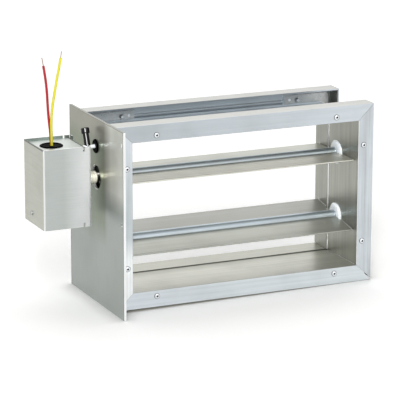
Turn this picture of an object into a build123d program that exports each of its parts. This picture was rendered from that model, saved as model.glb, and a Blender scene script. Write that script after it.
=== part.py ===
from build123d import *
import math
import os

# Motorised zone damper for a nominal 305 x 203 mm duct branch.
# Origin: middle of the frame's end, on the face of the mounting plate that seats on the duct.
# +X runs along the blade shafts away from the actuator, +Y along the airflow, +Z up.
# Millimetres throughout.

# Frame of mitred aluminium channel, open side outward
frame_width = 298.45
frame_height = 196.85
frame_depth = 101.6
rail_wall = 1.6
flange_height = 18.1
lip_length = 19.5
rail_corner_radius = 0.6
mitre_gap = 0.2
open_mitre = 1.7
stop_bead_place = 20.0
stop_bead_width = 4.0
stop_bead_height = 1.2
track_rib_place = 7.1
track_rib_width = 1.2
track_rib_height = 1.2
rivet_groove_width = 1.0
rivet_groove_depth = 0.4

# Corner keys and the blind rivets that hold them
key_leg = 60.0
key_width = 10.4
key_thickness = 4.0
key_clearance = 0.1
key_corner_chamfer = 3.0
stake_place = 54.0
stake_radius = 1.6
stake_depth = 0.8
rivet_edge = 11.8
rivet_corner = 45.0
rivet_radius = 1.6
rivet_hole_radius = 1.65
rivet_head_radius = 3.1
rivet_head_height = 1.2
rivet_head_rim = 0.3
rivet_eye_radius = 1.1
rivet_eye_depth = 1.4
rivet_tail_radius = 2.5
rivet_tail_length = 3.2

# Side mounting plate
plate_thickness = 2.5
plate_margin = 24.8
plate_drop = 3.1
plate_screw_edge = 5.0
plate_screw_pitch = 84.4
plate_screw_radius = 2.2
plate_corner_radius = 0.8
shaft_hole_radius = 12.5
shaft_hole_break = 0.7

# Blades, shafts and bushings
shaft_radius = 4.7625
blade_pitch = 70.8
blade_width = 85.0
blade_thickness = 1.6
blade_end_gap = 1.6
blade_lead_angle = 10.0
boss_radius = 5.6
boss_fillet = 1.5
boss_clearance = 0.04
running_clearance = 0.05
free_clearance = 0.35
bushing_flange_radius = 13.0
bushing_flange_thickness = 2.5
bushing_rim = 1.0
bushing_dome_start = 9.0
bushing_barrel_radius = 6.4
bushing_hole_clearance = 0.05
bushing_barrel_length = 3.5
bushing_snap_radius = 7.1
bushing_snap_length = 1.4
bushing_snap_taper = 0.5
notch_clearance = 1.5
shaft_end_chamfer = 0.8
shaft_overhang = 3.0
ring_radius = 7.2
ring_thickness = 1.2
ring_slit = 2.0

# Linkage in the channel behind the mounting plate
crank_radius = 20.0
crank_angle = -40.0
crank_thickness = 2.5
crank_hub_radius = 8.0
crank_hub_length = 7.0
crank_eye_radius = 6.0
crank_bushing_gap = 0.4
pin_radius = 2.5
pin_fit = 0.02
pin_head_radius = 4.0
pin_head_height = 1.2
tie_bar_thickness = 2.0
tie_bar_half_width = 5.0
open_pivot_clearance = 0.3
set_screw_radius = 2.0
set_screw_socket = 1.0
set_screw_socket_depth = 1.2

# Lock pin between actuator and plate
lock_height = 33.1
lock_pin_radius = 2.1
lock_pin_reach = 0.5
lock_pin_length = 31.0
lock_pin_travel = 4.5
lock_knob_place = -11.6
lock_knob_lean = 22.0
knob_stem_radius = 3.2
knob_stem_top = 14.1
knob_cap_radius = 4.4
knob_cap_height = 6.1
knob_cap_fillet = 1.1
knob_saddle = 1.0
pin_hole_clearance = 0.3
pin_grommet_radius = 7.5
pin_grommet_flange = 1.4
pin_grommet_neck = 5.4
pin_grommet_lip_radius = 6.8

# Actuator box
box_near = -19.2
box_length = 52.8
box_width = 59.0
box_height = 85.2
box_centre_height = 33.6
box_sheet = 1.2
box_bend = 2.4
box_recess = 2.8
box_fit = 0.2
return_flange = 7.0
relief_place = 7.2
relief_width = 2.0
relief_depth = 4.6
cover_screw_y = 6.3
cover_screw_rise = 11.2
flange_screw_rise = 28.6
tab_width = 16.0
tab_height = 14.0
screw_radius = 1.5
screw_head_radius = 2.4
screw_head_height = 1.3
screw_slot_width = 0.7
screw_slot_depth = 0.6
screw_grip = 4.5

# Gearbox, motor and output hub inside the box
gearbox_depth = 18.5
gearbox_screw_gap = 1.25
gearbox_low = 6.0
gearbox_high = 71.8
gearbox_edge = 4.0
gearbox_rim = 1.5
gearbox_screw_inset = 6.0
motor_radius = 23.0
motor_length = 23.5
motor_centre_height = 28.0
motor_edge = 2.0
motor_boss_radius = 6.0
motor_boss_height = 0.8
hub_radius = 6.6
hub_near = -3.0
hub_far = -39.4
hub_screw_place = -15.0
shaft_far_end = -38.4

# Wire grommet in the box top and the two leads
wire_grommet_x = -52.0
wire_grommet_radius = 12.2
wire_grommet_flange = 1.3
wire_grommet_dish = 9.0
wire_grommet_dish_depth = 0.6
knockout_radius = 11.1
wire_grommet_body = 0.9
wire_grommet_fit = 0.1
wire_grommet_slope = 1.0
lead_radius = 1.35
tip_radius = 0.7
red_tip_length = 9.4
yellow_tip_length = 6.8
bend_share = 0.45

# Modelling aids: how far a cutting tool runs past a face, and how closely an edge is matched
overcut = 1.0
match_tolerance = 0.02

# Places worked out from the sizes above
opening_half_height = frame_height / 2 - flange_height
opening_left = flange_height
opening_right = frame_width - flange_height
upper_axis = blade_pitch / 2
lower_axis = -blade_pitch / 2
shaft_bore = shaft_radius + running_clearance
plate_top = frame_height / 2
plate_bottom = -frame_height / 2 - plate_drop
plate_half_width = frame_depth / 2 + plate_margin
plate_screw_row = plate_half_width - plate_screw_edge
web_left = flange_height - rail_wall
web_right = frame_width - flange_height + rail_wall
bushing_left_end = web_left - bushing_barrel_length
bushing_right_end = web_right + bushing_barrel_length
crank_face = bushing_left_end - crank_bushing_gap
crank_back = crank_face - crank_thickness
tie_bar_face = crank_back - free_clearance
tie_bar_back = tie_bar_face - tie_bar_thickness
hub_end = crank_face - crank_hub_length
ring_place = bushing_right_end + free_clearance
shaft_right_end = ring_place + ring_thickness + shaft_overhang
lock_axis = upper_axis + lock_height
box_far = box_near - box_length
box_bottom = box_centre_height - box_height / 2
box_top = box_centre_height + box_height / 2
panel_top = box_top - box_recess
panel_bottom = box_bottom + box_recess
panel_right = box_near - box_sheet
panel_left = box_far + box_sheet + box_fit
panel_half_width = box_width / 2 - box_sheet - box_fit
cover_screw_height = box_bottom + cover_screw_rise
flange_screw_height = box_bottom + flange_screw_rise
flange_screw_place = box_width / 2 - box_bend - screw_head_radius + running_clearance
gearbox_half_width = flange_screw_place - screw_radius - gearbox_screw_gap
gearbox_far = panel_right - box_sheet - gearbox_depth
grommet_top = panel_top + wire_grommet_flange
lead_start = grommet_top - wire_grommet_dish_depth


def block(x_range, y_range, z_range):
    """Box between two places along each axis."""
    size = [high - low for low, high in (x_range, y_range, z_range)]
    middle = [(high + low) / 2 for low, high in (x_range, y_range, z_range)]
    return Pos(*middle) * Box(*size)


def rod_x(radius, x_from, x_to, y=0.0, z=0.0):
    """Cylinder along X between two places."""
    return Pos((x_from + x_to) / 2, y, z) * Rot(0, 90, 0) * Cylinder(radius, abs(x_to - x_from))


def rod_y(radius, y_from, y_to, x=0.0, z=0.0):
    """Cylinder along Y between two places."""
    return Pos(x, (y_from + y_to) / 2, z) * Rot(90, 0, 0) * Cylinder(radius, abs(y_to - y_from))


def turned(outline):
    """Solid of revolution about Z from (radius, height) points or edges in the XZ plane."""
    return revolve(make_face(outline), Axis.Z)


def turned_points(*points):
    """Closed polyline in the XZ plane from (radius, height) pairs."""
    return Polyline(*[(radius, 0, height) for radius, height in points], close=True)


def across_y(points, y_from, y_to):
    """Prism between two depths from an (x, z) outline."""
    outline = Polyline(*[(x, y_from, z) for x, z in points], close=True)
    return extrude(make_face(outline), amount=y_to - y_from, dir=(0, 1, 0))


def channel_section():
    """Lipped channel: u runs through the depth, v outward from the airway face of the web."""
    half = frame_depth / 2
    inner = half - rail_wall
    lip_inner = flange_height - rail_wall
    rivet_line = flange_height - rivet_edge
    groove = rivet_groove_width / 2
    rib_face = half - track_rib_place
    rib_back = rib_face + track_rib_width
    rib_top = rail_wall + track_rib_height
    right_side = [
        (half, 0), (half, flange_height), (half - lip_length, flange_height), (half - lip_length, lip_inner),
        (inner, lip_inner), (inner, rivet_line + groove), (inner + rivet_groove_depth, rivet_line),
        (inner, rivet_line - groove), (inner, rail_wall), (rib_back, rail_wall), (rib_back, rib_top),
        (rib_face, rib_top), (rib_face, rail_wall),
    ]
    left_side = [(-u, v) for u, v in reversed(right_side)]
    bead_left = (stop_bead_place - stop_bead_width / 2, 0)
    bead_right = (stop_bead_place + stop_bead_width / 2, 0)
    outline = Polyline(bead_right, *right_side, *left_side, bead_left)
    outline += ThreePointArc(bead_left, (stop_bead_place, -stop_bead_height), bead_right)
    section = make_face(outline)
    corners = [vertex for vertex in section.vertices() if is_outer_corner(vertex)]
    return fillet(corners, radius=rail_corner_radius)


def is_outer_corner(vertex):
    """True at the channel's four outside corners."""
    at_side = abs(abs(vertex.X) - frame_depth / 2) < rail_corner_radius / 2
    return at_side and min(abs(vertex.Y), abs(vertex.Y - flange_height)) < rail_corner_radius / 2


def make_rails():
    """Four channels, mitred at the corners, with their rivet and bushing holes."""
    section = channel_section()
    half_height = frame_height / 2
    reach = flange_height + 2 * stop_bead_height
    slip = mitre_gap / math.sqrt(2)
    width = frame_width
    planes = {
        "rail_top": (Plane((0, 0, opening_half_height), (0, 1, 0), (1, 0, 0)), width),
        "rail_bottom": (Plane((width, 0, -opening_half_height), (0, 1, 0), (-1, 0, 0)), width),
        "rail_left": (Plane((opening_left, 0, -half_height), (0, 1, 0), (0, 0, 1)), frame_height),
        "rail_right": (Plane((opening_right, 0, half_height), (0, 1, 0), (0, 0, -1)), frame_height),
    }
    mitres = {
        "rail_top": [(slip, half_height), (width - slip, half_height),
                     (width - slip - reach, half_height - reach), (slip + reach, half_height - reach)],
        "rail_bottom": [(slip, -half_height), (width - slip, -half_height),
                        (width - slip - reach, reach - half_height), (slip + reach, reach - half_height)],
        "rail_left": [(0, slip - half_height), (reach, slip + reach - half_height),
                      (reach, half_height - slip - reach), (0, half_height - slip)],
        "rail_right": [(width, slip + open_mitre - half_height), (width - reach, slip + reach - half_height),
                       (width - reach, half_height - slip - reach), (width, half_height - slip)],
    }
    face = frame_depth / 2
    holes = [rod_y(rivet_hole_radius, side * (face - 2 * rail_wall), side * (face + overcut), x, z)
             for side in (-1, 1) for x, z in rivet_places()]
    barrel_hole = bushing_barrel_radius + bushing_hole_clearance
    holes += [rod_x(barrel_hole, x - 2 * rail_wall, x + 2 * rail_wall, 0, z)
              for x in (opening_left, opening_right) for z in (upper_axis, lower_axis)]
    rails = {}
    for name, (plane, length) in planes.items():
        blank = extrude(plane * section, amount=length)
        rails[name] = (blank & across_y(mitres[name], -frame_depth, frame_depth)) - holes
    return rails


def rivet_places():
    """Two rivets at each corner of a flange face, one on each leg of the corner key."""
    on_left = [(rivet_corner, rivet_edge), (rivet_edge, rivet_corner)]
    corners = on_left + [(frame_width - x, drop) for x, drop in on_left]
    return [(x, height * (frame_height / 2 - drop)) for height in (-1, 1) for x, drop in corners]


def make_corner_keys(side):
    """Flat L-shaped keys inside the flanges, one at each corner of a frame face."""
    inner = flange_height - rail_wall - key_clearance
    outer = inner - key_width
    cut = key_corner_chamfer
    legs = [(outer + cut, outer), (key_leg, outer), (key_leg, inner), (inner, inner),
            (inner, key_leg), (outer, key_leg), (outer, outer + cut)]
    seat = side * (frame_depth / 2 - rail_wall)
    back = seat - side * key_thickness
    stake_line = (inner + outer) / 2
    keys = []
    for right in (False, True):
        for height in (-1, 1):
            corner = [(frame_width - a if right else a, height * (frame_height / 2 - b)) for a, b in legs]
            key = across_y(corner, min(seat, back), max(seat, back))
            for a, b in ((stake_place, stake_line), (stake_line, stake_place)):
                x = frame_width - a if right else a
                z = height * (frame_height / 2 - b)
                key -= rod_y(stake_radius, back - side * overcut, back + side * stake_depth, x, z)
            for x, z in rivet_places():
                key -= rod_y(rivet_hole_radius, seat - side * 2 * key_thickness, seat + side * overcut, x, z)
            keys.append(key)
    return Compound(children=keys)


def make_rivets(side):
    """Blind rivets: domed head with an open mandrel eye outside, swollen tail behind the key."""
    grip = rail_wall + key_thickness
    head_top = (0, 0, rivet_head_height)
    outline = Polyline(
        (rivet_head_radius, 0, rivet_head_rim), (rivet_head_radius, 0, 0), (rivet_radius, 0, 0),
        (rivet_radius, 0, -grip), (rivet_tail_radius, 0, -grip - rivet_tail_length / 3),
        (rivet_radius, 0, -grip - rivet_tail_length), (0, 0, -grip - rivet_tail_length), head_top)
    outline += TangentArc(head_top, (rivet_head_radius, 0, rivet_head_rim), tangent=(1, 0, 0))
    rivet = turned(outline)
    rivet -= Pos(0, 0, rivet_head_height - rivet_eye_depth / 2) * Cylinder(rivet_eye_radius, rivet_eye_depth)
    face = side * frame_depth / 2
    return Compound(children=[Pos(x, face, z) * Rot(-side * 90, 0, 0) * rivet for x, z in rivet_places()])


def make_plate():
    """Side plate that covers the duct cut-out and carries the whole damper."""
    plate = block((-plate_thickness, 0), (-plate_half_width, plate_half_width), (plate_bottom, plate_top))
    plate = fillet(plate.edges().filter_by(Axis.X), plate_corner_radius)
    for height in (0, plate_screw_pitch):
        plate -= rod_x(plate_screw_radius, -2 * plate_thickness, plate_thickness, -plate_screw_row, height)
    plate -= rod_x(shaft_hole_radius, -2 * plate_thickness, plate_thickness, 0, upper_axis)
    plate -= rod_x(pin_grommet_neck + pin_fit, -2 * plate_thickness, plate_thickness, 0, lock_axis)
    rim = [edge for edge in plate.edges().filter_by(GeomType.CIRCLE)
           if abs(edge.radius - shaft_hole_radius) < match_tolerance and edge.center().X < -match_tolerance]
    return chamfer(rim, shaft_hole_break)


def make_bushing(web_face, outward, axis_height):
    """Flanged nylon bushing snapped through a web; the flange bears on the airway face."""
    barrel_end = rail_wall + bushing_barrel_length
    snap_start = rail_wall + running_clearance
    outline = Polyline(
        (bushing_flange_radius, 0, bushing_rim), (bushing_flange_radius, 0, 0), (bushing_barrel_radius, 0, 0),
        (bushing_barrel_radius, 0, -snap_start), (bushing_snap_radius, 0, -snap_start),
        (bushing_snap_radius - bushing_snap_taper, 0, -snap_start - bushing_snap_length),
        (bushing_barrel_radius, 0, -barrel_end), (shaft_bore, 0, -barrel_end),
        (shaft_bore, 0, bushing_flange_thickness), (bushing_dome_start, 0, bushing_flange_thickness))
    outline += TangentArc((bushing_dome_start, 0, bushing_flange_thickness),
                          (bushing_flange_radius, 0, bushing_rim), tangent=(1, 0, 0))
    return Pos(web_face, 0, axis_height) * Rot(0, -outward * 90, 0) * turned(outline)


def make_blade(axis_height, tilt):
    """Sheet blade folded round its shaft, notched at each end round the bushing flanges."""
    half = blade_width / 2
    edge = blade_thickness / 2
    sheet = Plane.YZ * SlotOverall(blade_width, blade_thickness)
    section = sheet + Plane.YZ * Circle(boss_radius)
    roots = [vertex for vertex in section.vertices() if edge / 2 < abs(vertex.Z) and abs(vertex.Y) < half / 2]
    section = fillet(roots, boss_fillet)
    section -= Plane.YZ * Circle(shaft_radius + boss_clearance)
    left = opening_left + blade_end_gap
    right = opening_right - blade_end_gap
    blade = Pos(left, 0, 0) * extrude(section, amount=right - left, dir=(1, 0, 0))
    notch = bushing_flange_radius + notch_clearance
    depth = bushing_flange_thickness + free_clearance
    for low, high in ((0, opening_left + depth), (opening_right - depth, frame_width)):
        blade -= block((low, high), (-notch, notch), (-notch, notch))
    return Pos(0, 0, axis_height) * Rot(tilt, 0, 0) * blade


def make_shaft(left_end, axis_height):
    """Round shaft with broken edges at both ends."""
    shaft = rod_x(shaft_radius, left_end, shaft_right_end, 0, axis_height)
    return chamfer(shaft.edges().filter_by(GeomType.CIRCLE), shaft_end_chamfer)


def make_ring(axis_height):
    """Split push-on ring that keeps the shaft in the right-hand bushing."""
    ring_end = ring_place + ring_thickness
    ring = rod_x(ring_radius, ring_place, ring_end, 0, axis_height)
    ring -= rod_x(shaft_radius + pin_fit, ring_place - overcut, ring_end + overcut, 0, axis_height)
    return ring - block((ring_place - overcut, ring_end + overcut), (-ring_slit / 2, ring_slit / 2),
                        (axis_height - 2 * ring_radius, axis_height))


def crank_pin_place(axis_height):
    """Depth and height of a crank's pin with the blades open."""
    angle = math.radians(crank_angle)
    return crank_radius * math.cos(angle), axis_height + crank_radius * math.sin(angle)


def make_crank(axis_height):
    """Stamped crank arm with a hub clamped to the shaft by a set screw."""
    pin_y, pin_z = crank_pin_place(axis_height)
    discs = Circle(crank_hub_radius) + Pos(crank_radius, 0) * Circle(crank_eye_radius)
    arm_face = Plane.YZ * make_hull(discs.edges())
    arm = Pos(crank_back, 0, 0) * extrude(arm_face, amount=crank_thickness, dir=(1, 0, 0))
    crank = Pos(0, 0, axis_height) * Rot(crank_angle, 0, 0) * arm
    crank += rod_x(crank_hub_radius, hub_end, crank_back, 0, axis_height)
    crank -= rod_x(shaft_radius + pin_fit, hub_end - overcut, crank_face + overcut, 0, axis_height)
    crank -= rod_x(pin_radius + pin_fit, crank_back - overcut, crank_face + overcut, pin_y, pin_z)
    screw_x = (hub_end + crank_back) / 2
    crank -= rod_y(set_screw_radius + pin_fit, -2 * crank_hub_radius, 0, screw_x, axis_height)
    return crank


def make_crank_pin(axis_height, axial_gap):
    """Headed pin riveted into the crank, on which the tie bar turns."""
    pin_y, pin_z = crank_pin_place(axis_height)
    head_face = tie_bar_back - axial_gap
    pin = rod_x(pin_radius, head_face, crank_face, pin_y, pin_z)
    return pin + rod_x(pin_head_radius, head_face - pin_head_height, head_face, pin_y, pin_z)


def make_set_screw(x, axis_height, hub_outer_radius):
    """Headless socket screw from the hub's surface down to the shaft."""
    length = hub_outer_radius - shaft_radius - pin_fit
    screw = turned(turned_points((0, 0), (set_screw_radius, 0), (set_screw_radius, length), (0, length)))
    socket = extrude(RegularPolygon(set_screw_socket, 6), amount=set_screw_socket_depth)
    screw -= Pos(0, 0, length - set_screw_socket_depth) * socket
    return Pos(x, -shaft_radius - pin_fit, axis_height) * Rot(90, 0, 0) * screw


def make_tie_bar():
    """Flat bar that keeps both cranks parallel; its lower hole is the looser one."""
    top_y, top_z = crank_pin_place(upper_axis)
    low_y, low_z = crank_pin_place(lower_axis)
    length = top_z - low_z + 2 * tie_bar_half_width
    face = Plane.YZ * SlotOverall(length, 2 * tie_bar_half_width, rotation=90)
    bar = extrude(face, amount=tie_bar_thickness, dir=(1, 0, 0))
    bar = Pos(tie_bar_back, top_y, (top_z + low_z) / 2) * bar
    for clearance, y, z in ((running_clearance, top_y, top_z), (open_pivot_clearance, low_y, low_z)):
        bar -= rod_x(pin_radius + clearance, tie_bar_back - overcut, tie_bar_face + overcut, y, z)
    return bar


def make_pin_grommet():
    """Rubber grommet in the plate that receives the lock pin."""
    bore = lock_pin_radius + pin_hole_clearance
    outside = -plate_thickness - pin_grommet_flange
    edge = pin_grommet_flange / 2
    grommet = turned(turned_points(
        (bore, outside), (pin_grommet_radius - edge, outside), (pin_grommet_radius, outside + edge),
        (pin_grommet_radius, -plate_thickness), (pin_grommet_neck, -plate_thickness), (pin_grommet_neck, 0),
        (pin_grommet_lip_radius, 0), (pin_grommet_lip_radius, edge),
        (pin_grommet_lip_radius - edge, pin_grommet_flange), (bore, pin_grommet_flange)))
    return Pos(0, 0, lock_axis) * Rot(0, 90, 0) * grommet


def make_lock_pin():
    """Sliding pin with a rounded tip; its left end runs in the gearbox."""
    pin = rod_x(lock_pin_radius, lock_pin_reach - lock_pin_length, lock_pin_reach, 0, lock_axis)
    return fillet(pin.edges().filter_by(GeomType.CIRCLE), lock_pin_radius / 2)


def make_lock_knob():
    """Mushroom knob whose stem is saddled on the lock pin."""
    cap_top = knob_stem_top + knob_cap_height
    knob = turned(turned_points((0, 0), (knob_stem_radius, 0), (knob_stem_radius, knob_stem_top),
                                (knob_cap_radius, knob_stem_top), (knob_cap_radius, cap_top), (0, cap_top)))
    circles = knob.edges().filter_by(GeomType.CIRCLE)
    rims = [edge for edge in circles if edge.radius > knob_cap_radius - match_tolerance]
    knob = fillet(rims, knob_cap_fillet)
    knob -= Rot(0, 90, 0) * Cylinder(lock_pin_radius + pin_fit, 4 * knob_stem_radius)
    across = (-knob_cap_radius, knob_cap_radius)
    knob -= block(across, across, (-knob_saddle, knob_saddle))
    return Pos(lock_knob_place, 0, lock_axis) * Rot(-lock_knob_lean, 0, 0) * knob


def make_cover():
    """Wrap of the actuator box: front, left and rear walls in one sheet, with return flanges."""
    half = box_width / 2
    outer = Rectangle(box_length, box_width, align=(Align.MIN, Align.CENTER))
    outer = fillet(outer.vertices(), box_bend)
    inner = offset(outer, -box_sheet)
    mouth = Pos(box_length, 0, 0) * Rectangle(4 * box_sheet, 2 * (half - return_flange))
    wall = Pos(box_far, 0, box_bottom) * extrude(outer - inner - mouth, amount=box_height)
    relief_x = box_near - relief_place
    top_relief = (box_top - relief_depth, box_top + overcut)
    low_relief = (box_bottom - overcut, box_bottom + relief_depth)
    for z_range in (top_relief, low_relief):
        wall -= block((relief_x - relief_width, relief_x), (-box_width, box_width), z_range)
    wall -= rod_x(screw_radius, box_far - overcut, box_far + 2 * box_sheet, cover_screw_y, cover_screw_height)
    for y in (-flange_screw_place, flange_screw_place):
        wall -= rod_x(screw_radius, box_near - 2 * box_sheet, box_near + overcut, y, flange_screw_height)
    return wall


def make_base():
    """Chassis of the actuator box: top, near and bottom panels in one sheet, set in from the wrap."""
    width = panel_right - panel_left
    height = panel_top - panel_bottom
    outer = Rectangle(width, height, align=(Align.MIN, Align.MIN))
    outer = fillet(outer.vertices(), box_bend)
    inner = offset(outer, -box_sheet)
    mouth_height = height - 2 * (tab_height - box_bend)
    mouth = Rectangle(4 * box_sheet, mouth_height, align=(Align.CENTER, Align.MIN))
    section = outer - inner - Pos(0, tab_height - box_bend, 0) * mouth
    profile = Plane((panel_left, panel_half_width, panel_bottom), (1, 0, 0), (0, -1, 0)) * section
    base = extrude(profile, amount=2 * panel_half_width)
    corner = box_bend - box_sheet
    edge = panel_half_width - corner
    tall = (panel_bottom - overcut, panel_top + overcut)
    for across in ((-box_width, -edge), (edge, box_width)):
        base -= block((panel_left - overcut, panel_left + corner), across, tall)
        base -= block((panel_right - box_sheet, panel_right + overcut), across, tall)
    tab_low = cover_screw_y - tab_width / 2
    for across in ((-box_width, tab_low), (tab_low + tab_width, box_width)):
        base -= block((panel_left - overcut, panel_left + box_bend), across, tall)
    base -= rod_x(screw_radius, panel_left - overcut, panel_left + 2 * box_sheet,
                  cover_screw_y, cover_screw_height)
    near_holes = [(hub_radius + free_clearance, 0, upper_axis),
                  (lock_pin_radius + pin_hole_clearance, 0, lock_axis),
                  (screw_radius, -flange_screw_place, flange_screw_height),
                  (screw_radius, flange_screw_place, flange_screw_height)]
    near_holes += [(screw_radius, y, z) for y, z in gearbox_screw_places()]
    for radius, y, z in near_holes:
        base -= rod_x(radius, panel_right - 2 * box_sheet, panel_right + overcut, y, z)
    return base - Pos(wire_grommet_x, 0, panel_top) * Cylinder(knockout_radius, 4 * box_sheet)


def gearbox_screw_places():
    """Four corners of the gearbox flange."""
    y = gearbox_half_width - gearbox_screw_inset
    return [(side * y, z) for side in (-1, 1)
            for z in (gearbox_low + gearbox_screw_inset, lock_axis - 2 * gearbox_screw_inset)]


def make_screw():
    """Pan-head screw with a straight slot, head up, underside of the head at the origin."""
    head = turned(turned_points(
        (0, 0), (screw_head_radius, 0), (screw_head_radius, screw_head_height), (0, screw_head_height)))
    top = head.edges().sort_by(Axis.Z)[-1]
    head = fillet(top, screw_head_height / 2)
    head += Pos(0, 0, -screw_grip / 2) * Cylinder(screw_radius, screw_grip)
    half_slot = screw_slot_width / 2
    return head - block((-screw_head_radius, screw_head_radius), (-half_slot, half_slot),
                        (screw_head_height - screw_slot_depth, 2 * screw_head_height))


def make_cover_screws():
    """One screw in the far wall and one in each return flange."""
    screw = make_screw()
    screws = [Pos(box_far, cover_screw_y, cover_screw_height) * Rot(0, -90, 0) * screw]
    for y in (-flange_screw_place, flange_screw_place):
        screws.append(Pos(box_near, y, flange_screw_height) * Rot(0, 90, 0) * screw)
    return Compound(children=screws)


def make_gearbox_screws():
    """Four screws through the near panel into the gearbox."""
    screw = Rot(0, 90, 0) * make_screw()
    return Compound(children=[Pos(panel_right, y, z) * screw for y, z in gearbox_screw_places()])


def make_gearbox():
    """Die-cast gear housing bored for the output hub and the lock pin."""
    panel_inner = panel_right - box_sheet
    body = block((gearbox_far, panel_inner), (-gearbox_half_width, gearbox_half_width),
                 (gearbox_low, gearbox_high))
    body = fillet(body.edges().filter_by(Axis.X), gearbox_edge)
    body = fillet(body.faces().sort_by(Axis.X)[-1].edges(), gearbox_rim)
    body -= rod_x(hub_radius + free_clearance, gearbox_far - overcut, panel_inner + overcut, 0, upper_axis)
    pin_end = lock_pin_reach - lock_pin_length - lock_pin_travel - overcut
    body -= rod_x(lock_pin_radius + pin_hole_clearance, pin_end, panel_inner + overcut, 0, lock_axis)
    for y, z in gearbox_screw_places():
        body -= rod_x(screw_radius, panel_inner - screw_grip, panel_inner + overcut, y, z)
    return body


def make_motor():
    """Round synchronous motor can on the back of the gearbox."""
    end = gearbox_far - motor_length
    can = rod_x(motor_radius, end, gearbox_far, 0, motor_centre_height)
    far_rim = can.edges().filter_by(GeomType.CIRCLE).sort_by(Axis.X)[0]
    can = fillet(far_rim, motor_edge)
    return can + rod_x(motor_boss_radius, end - motor_boss_height, end, 0, motor_centre_height)


def make_output_hub():
    """Hollow output hub of the gear train, clamped to the drive shaft."""
    hub = rod_x(hub_radius, hub_far, hub_near, 0, upper_axis)
    near_rim = hub.edges().filter_by(GeomType.CIRCLE).sort_by(Axis.X)[-1]
    hub = chamfer(near_rim, shaft_end_chamfer)
    hub -= rod_x(shaft_radius + pin_fit, hub_far - overcut, hub_near + overcut, 0, upper_axis)
    return hub - rod_y(set_screw_radius + pin_fit, -2 * hub_radius, 0, hub_screw_place, upper_axis)


def make_wire_grommet():
    """Snap-in grommet with a closed, dished face that grips the leads."""
    body_low = -box_sheet - wire_grommet_body
    body_radius = knockout_radius - wire_grommet_fit
    top = wire_grommet_flange
    dish_floor = top - wire_grommet_dish_depth
    grommet = turned(turned_points(
        (0, body_low), (body_radius, body_low), (body_radius, 0), (wire_grommet_radius, 0),
        (wire_grommet_radius, top / 2), (wire_grommet_radius - wire_grommet_slope, top),
        (wire_grommet_dish + wire_grommet_dish_depth, top), (wire_grommet_dish, dish_floor), (0, dish_floor)))
    return Pos(wire_grommet_x, 0, panel_top) * grommet


def bend_radii(points):
    """Largest tangent arc that the two runs at each corner allow."""
    radii = []
    for before, corner, after in zip(points, points[1:], points[2:]):
        run_in = Vector(*corner) - Vector(*before)
        run_out = Vector(*after) - Vector(*corner)
        half_turn = math.radians(run_in.get_angle(run_out)) / 2
        radii.append(bend_share * min(run_in.length, run_out.length) / math.tan(half_turn))
    return radii


def make_lead(name, points):
    """Insulated wire along straight runs joined by tangent arcs."""
    radii = bend_radii(points)
    path = FilletPolyline(*points, radius=radii)
    start = Plane(points[0], z_dir=Vector(*points[1]) - Vector(*points[0]))
    tube = sweep(start * Circle(lead_radius), path=path)
    ideal = math.pi * lead_radius ** 2 * path.length
    print(name, "length", round(path.length, 1), "radii", [round(radius) for radius in radii])
    print(name, "volume over section times length", round(tube.volume / ideal, 4))
    return tube


def make_tip(points, length):
    """Bare tinned end that continues the last run."""
    direction = (Vector(*points[-1]) - Vector(*points[-2])).normalized()
    rod = Cylinder(tip_radius, length, align=(Align.CENTER, Align.CENTER, Align.MIN))
    return Plane(points[-1], z_dir=direction) * rod


# Routes of the leads, chosen by eye: they stand up from the grommet and spread
red_route = [
    (-51.9, 1.5, lead_start), (-51.9, 1.5, 84.0), (-53.7, 1.5, 99.0), (-55.1, 0.8, 115.0),
    (-56.0, 0.0, 131.5), (-57.6, 0.1, 147.0), (-59.6, -0.2, 158.3),
]
yellow_route = [
    (-52.0, -1.5, lead_start), (-52.0, -1.5, 84.0), (-52.4, -1.5, 98.0), (-50.9, -0.8, 113.0),
    (-47.7, -0.2, 129.0), (-45.1, -0.1, 143.0), (-42.2, 0.0, 155.5), (-40.3, 0.3, 165.4),
]

parts = make_rails()
parts["corner_keys_front"] = make_corner_keys(-1)
parts["corner_keys_rear"] = make_corner_keys(1)
parts["frame_rivets_front"] = make_rivets(-1)
parts["frame_rivets_rear"] = make_rivets(1)
parts["mounting_plate"] = make_plate()
for level, height in (("upper", upper_axis), ("lower", lower_axis)):
    parts["bushing_" + level + "_left"] = make_bushing(opening_left, -1, height)
    parts["bushing_" + level + "_right"] = make_bushing(opening_right, 1, height)
    parts[level + "_retaining_ring"] = make_ring(height)
    parts[level + "_crank"] = make_crank(height)
    parts[level + "_crank_screw"] = make_set_screw((hub_end + crank_back) / 2, height, crank_hub_radius)
    parts[level + "_crank_pin"] = make_crank_pin(height, free_clearance)
parts["upper_blade"] = make_blade(upper_axis, 0)
parts["lower_blade"] = make_blade(lower_axis, blade_lead_angle)
parts["drive_shaft"] = make_shaft(shaft_far_end, upper_axis)
parts["lower_shaft"] = make_shaft(hub_end, lower_axis)
parts["tie_bar"] = make_tie_bar()
parts["pin_grommet"] = make_pin_grommet()
parts["lock_pin"] = make_lock_pin()
parts["lock_knob"] = make_lock_knob()
parts["actuator_cover"] = make_cover()
parts["actuator_base"] = make_base()
parts["cover_screws"] = make_cover_screws()
parts["gearbox"] = make_gearbox()
parts["gearbox_screws"] = make_gearbox_screws()
parts["drive_motor"] = make_motor()
parts["output_hub"] = make_output_hub()
parts["hub_set_screw"] = make_set_screw(hub_screw_place, upper_axis, hub_radius)
parts["wire_grommet"] = make_wire_grommet()
parts["red_lead"] = make_lead("red_lead", red_route)
parts["yellow_lead"] = make_lead("yellow_lead", yellow_route)
parts["red_lead_tip"] = make_tip(red_route, red_tip_length)
parts["yellow_lead_tip"] = make_tip(yellow_route, yellow_tip_length)

os.makedirs("parts", exist_ok=True)
for name, shape in parts.items():
    export_step(shape, "parts/" + name + ".step")
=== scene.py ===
import math

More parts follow.
